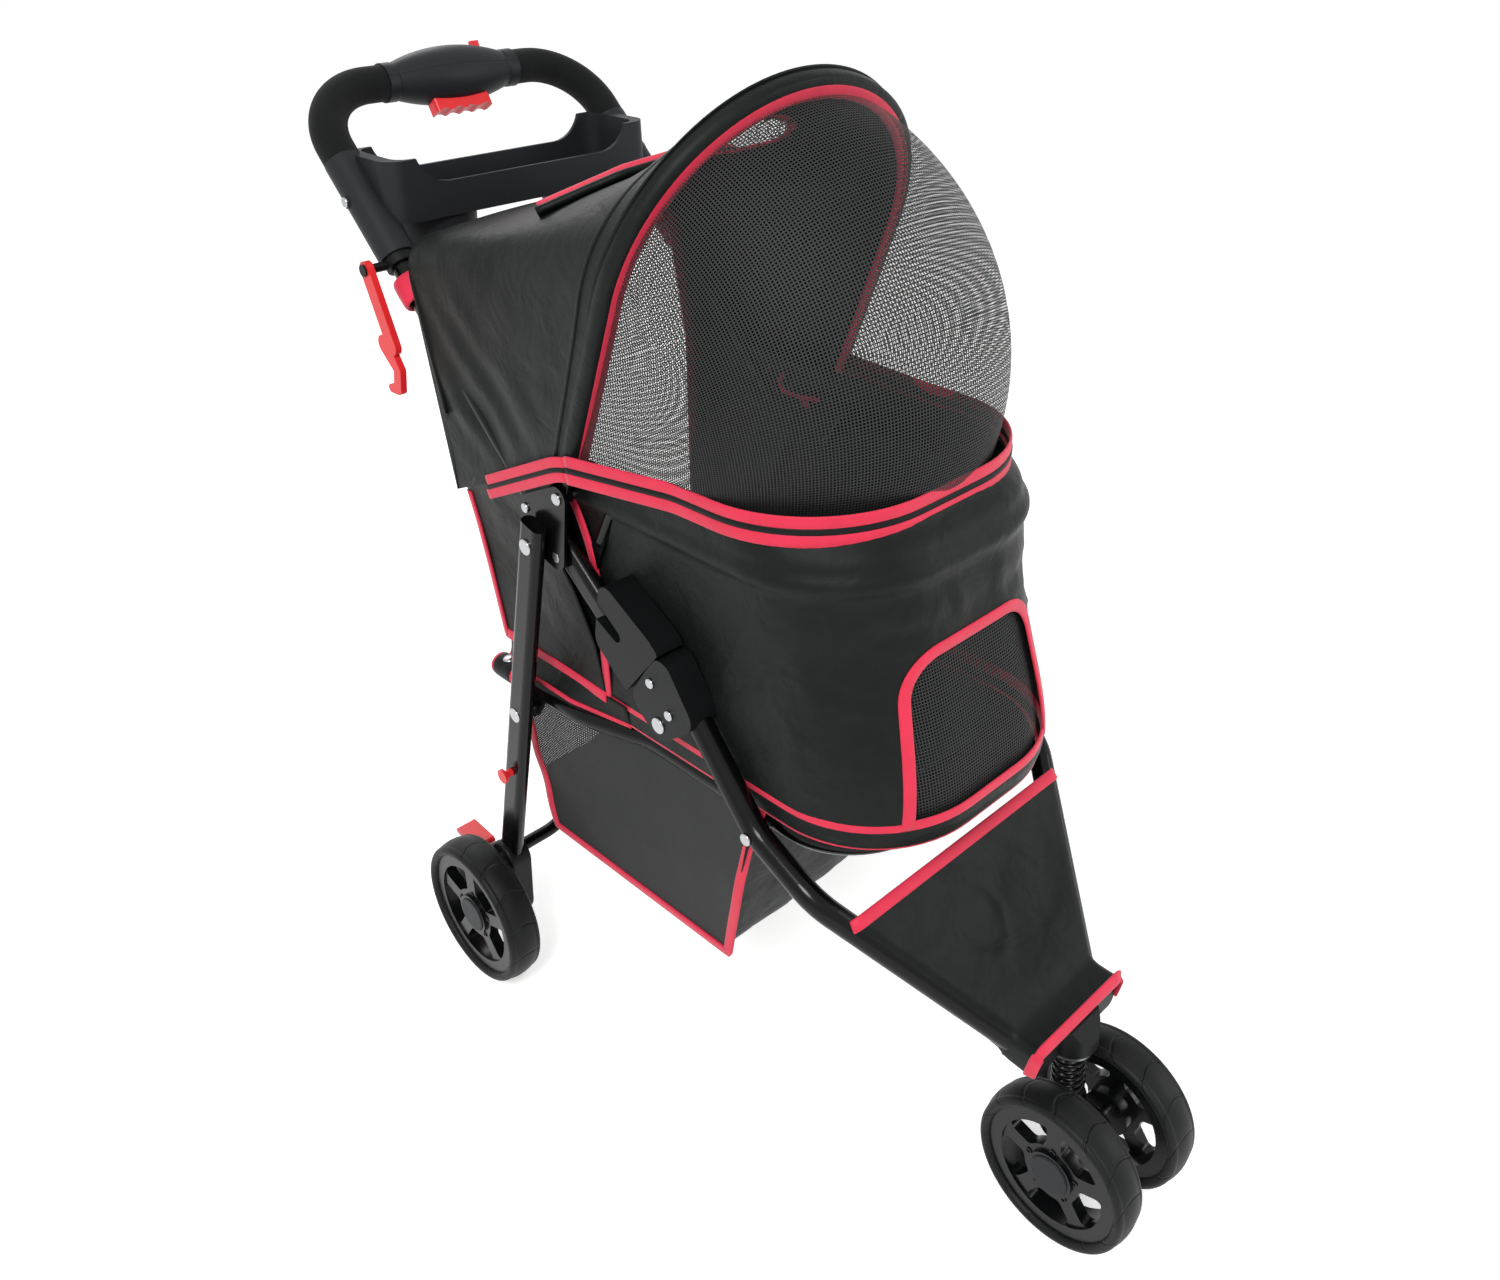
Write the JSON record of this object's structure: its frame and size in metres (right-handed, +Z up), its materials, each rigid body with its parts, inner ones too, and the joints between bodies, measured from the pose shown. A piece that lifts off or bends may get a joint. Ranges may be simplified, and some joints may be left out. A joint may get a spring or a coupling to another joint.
{
  "type": "pet stroller",
  "caption": "Folding three-wheel pet stroller with soft cabin, mesh front, hood, swivel sprung caster, under-basket, cup tray and fold release.",
  "frame": {"origin": "on the floor, in the middle of the outline seen from above", "axes": "+Z up, -Y forward to the swivel wheels, +Y back to the handle, +X the pusher's left"},
  "size_m": [0.448, 0.934, 0.9493],
  "materials": {
    "axle_steel": "plain steel",
    "black_plastic": "fine grain",
    "black_steel": "gloss black paint",
    "board": "pressed board",
    "bright_steel": "bright plated steel",
    "cloth": "woven polyester",
    "foam": "foam grip",
    "grey_plastic": "fine grain",
    "mesh": "open knit mesh",
    "pad_cloth": "woven polyester over wadding",
    "red_plastic": "smooth",
    "tyre": "moulded"
  },
  "bodies": {
    "rear_frame": {"rear_leg_left": "black_steel", "rear_leg_right": "black_steel", "wheel_housing_left": "black_plastic", "wheel_housing_right": "black_plastic", "rear_crossbar": "black_steel", "rear_axles": "axle_steel", "storage_post": "red_plastic", "leg_rivets": "bright_steel"},
    "upper_frame": {"handle_tube": "black_steel", "link_bar_left": "black_steel", "link_bar_right": "black_steel", "upper_brackets": "black_steel", "upper_rivets": "bright_steel", "rim_bow": "black_steel", "console_upper": "grey_plastic", "console_lower": "grey_plastic", "grip_left": "foam", "grip_right": "foam", "handle_tray": "grey_plastic", "tray_screws": "bright_steel", "hook_clip": "black_plastic", "hood": "cloth"},
    "front_frame": {"front_tube_left": "black_steel", "front_tube_right": "black_steel", "hinge_cover_left": "black_plastic", "hinge_cover_right": "black_plastic", "front_rivets": "bright_steel", "caster_head": "black_plastic", "swivel_bush": "black_plastic", "apron": "cloth"},
    "seat_frame": {"seat_loop": "black_steel", "floor_board": "board", "floor_pad": "pad_cloth", "cabin_tub": "cloth", "basket": "cloth"},
    "caster_swivel": {"caster_stem": "axle_steel", "caster_spring": "black_steel"},
    "caster_yoke": {"caster_yoke": "black_plastic", "front_axle": "axle_steel"},
    "canopy": {"hood_hoop": "black_steel", "mesh_front": "mesh"},
    "release_trigger": {"release_trigger": "red_plastic"},
    "safety_tab": {"safety_tab": "red_plastic"},
    "storage_hook": {"storage_hook": "red_plastic"},
    "front_wheel_left": {"front_tyre_left": "tyre", "front_rim_left": "black_plastic", "front_hub_cap_left": "grey_plastic"},
    "rear_wheel_left": {"rear_tyre_left": "tyre", "rear_rim_left": "black_plastic", "rear_hub_cap_left": "grey_plastic"},
    "brake_pedal_left": {"brake_pedal_left": "red_plastic"},
    "lock_sleeve_left": {"lock_sleeve_left": "black_plastic"},
    "front_wheel_right": {"front_tyre_right": "tyre", "front_rim_right": "black_plastic", "front_hub_cap_right": "grey_plastic"},
    "rear_wheel_right": {"rear_tyre_right": "tyre", "rear_rim_right": "black_plastic", "rear_hub_cap_right": "grey_plastic"},
    "brake_pedal_right": {"brake_pedal_right": "red_plastic"},
    "lock_sleeve_right": {"lock_sleeve_right": "black_plastic"}
  },
  "joints": [
    {"name": "frame_fold", "type": "hinge", "parent": "rear_frame", "child": "upper_frame", "pos_m": [0, 0.114, 0.548], "axis": [-1, 0, 0], "range_deg": [0, 103], "deforming": ["cabin_tub", "basket", "hood", "apron", "mesh_front"]},
    {"name": "knee_fold", "type": "hinge", "parent": "upper_frame", "child": "front_frame", "pos_m": [0, -0.038, 0.428], "axis": [1, 0, 0], "range_deg": [0, 146.76]},
    {"name": "seat_fold", "type": "hinge", "parent": "rear_frame", "child": "seat_frame", "pos_m": [0, 0.17077, 0.345], "axis": [-1, 0, 0], "range_deg": [0, 55.17]},
    {"name": "caster_turn", "type": "hinge", "parent": "front_frame", "child": "caster_swivel", "pos_m": [0, -0.363, 0.19], "axis": [0, 0, 1], "continuous": true},
    {"name": "suspension", "type": "slide", "parent": "caster_swivel", "child": "caster_yoke", "axis": [0, 0, 1], "range_m": [0, 0.012], "stiffness_N_per_m": 8000, "springref_m": -0.006, "deforming": ["caster_spring"]},
    {"name": "canopy_open", "type": "hinge", "parent": "upper_frame", "child": "canopy", "pos_m": [0, 0.08, 0.6], "axis": [-1, 0, 0], "range_deg": [0, 50], "deforming": ["hood"]},
    {"name": "trigger_pull", "type": "slide", "parent": "upper_frame", "child": "release_trigger", "axis": [0, 0.5, 0.866], "range_m": [0, 0.005], "stiffness_N_per_m": 600, "springref_m": -0.003},
    {"name": "tab_slide", "type": "slide", "parent": "upper_frame", "child": "safety_tab", "axis": [1, 0, 0], "range_m": [0, 0.006]},
    {"name": "hook_swing", "type": "hinge", "parent": "upper_frame", "child": "storage_hook", "pos_m": [-0.15, 0.31012, 0.75612], "axis": [1, 0, 0], "range_deg": [-8, 52]},
    {"name": "front_wheel_left_spin", "type": "hinge", "parent": "caster_yoke", "child": "front_wheel_left", "pos_m": [0.042, -0.387, 0.076], "axis": [1, 0, 0], "continuous": true},
    {"name": "rear_wheel_left_spin", "type": "hinge", "parent": "rear_frame", "child": "rear_wheel_left", "pos_m": [0.206, 0.24, 0.08], "axis": [1, 0, 0], "continuous": true},
    {"name": "brake_left_press", "type": "hinge", "parent": "rear_frame", "child": "brake_pedal_left", "pos_m": [0.172, 0.268, 0.118], "axis": [-1, 0, 0], "range_deg": [0, 18]},
    {"name": "sleeve_left_slide", "type": "slide", "parent": "upper_frame", "child": "lock_sleeve_left", "axis": [0, 0.7574, 0.6529], "range_m": [0, 0.012]},
    {"name": "front_wheel_right_spin", "type": "hinge", "parent": "caster_yoke", "child": "front_wheel_right", "pos_m": [-0.042, -0.387, 0.076], "axis": [1, 0, 0], "continuous": true},
    {"name": "rear_wheel_right_spin", "type": "hinge", "parent": "rear_frame", "child": "rear_wheel_right", "pos_m": [-0.206, 0.24, 0.08], "axis": [1, 0, 0], "continuous": true},
    {"name": "brake_right_press", "type": "hinge", "parent": "rear_frame", "child": "brake_pedal_right", "pos_m": [-0.172, 0.268, 0.118], "axis": [-1, 0, 0], "range_deg": [0, 18]},
    {"name": "sleeve_right_slide", "type": "slide", "parent": "upper_frame", "child": "lock_sleeve_right", "axis": [0, 0.7574, 0.6529], "range_m": [0, 0.012]}
  ],
  "couplings": [
    {"joint": "knee_fold", "follows": "frame_fold", "ratio": 1.4229},
    {"joint": "seat_fold", "follows": "frame_fold", "ratio": 0.5337},
    {"joint": "sleeve_left_slide", "follows": "trigger_pull", "ratio": 2.4},
    {"joint": "sleeve_right_slide", "follows": "trigger_pull", "ratio": 2.4}
  ]
}
